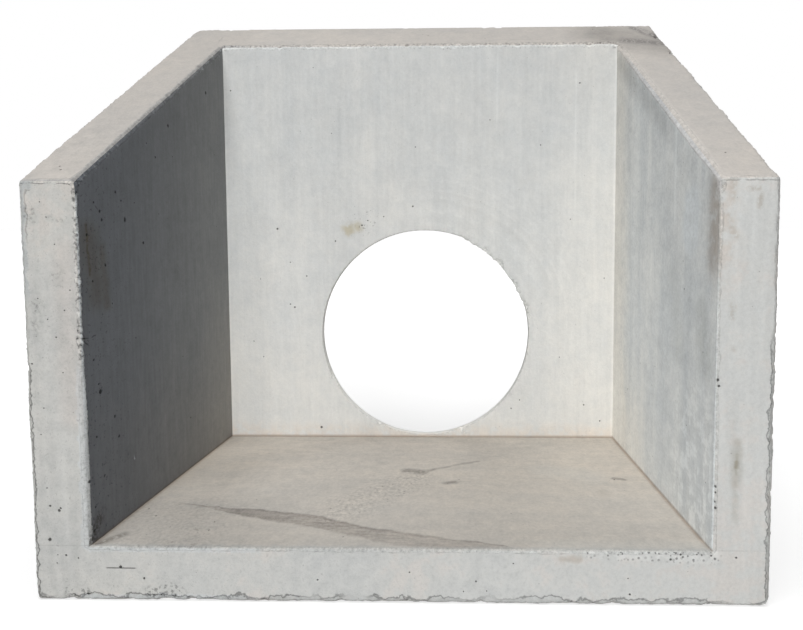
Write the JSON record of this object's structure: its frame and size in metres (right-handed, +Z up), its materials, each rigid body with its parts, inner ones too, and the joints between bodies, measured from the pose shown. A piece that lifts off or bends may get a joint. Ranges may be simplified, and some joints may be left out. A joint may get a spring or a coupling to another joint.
{
  "type": "culvert headwall",
  "caption": "Precast concrete culvert headwall: floor slab, splayed wing walls with a sloping rim, and a headwall with a round pipe opening.",
  "frame": {"origin": "middle of the base on the resting face, in plan the middle of the overall length and width", "axes": "+Z up, -Y out of the open mouth between the wing walls, +Y towards the pipe side of the headwall, +X to the right when the mouth is seen from outside"},
  "size_m": [1.2492, 0.66, 1.1495],
  "materials": {
    "concrete": "matte"
  },
  "bodies": {
    "root": {"headwall_casting": "concrete"}
  },
  "joints": []
}
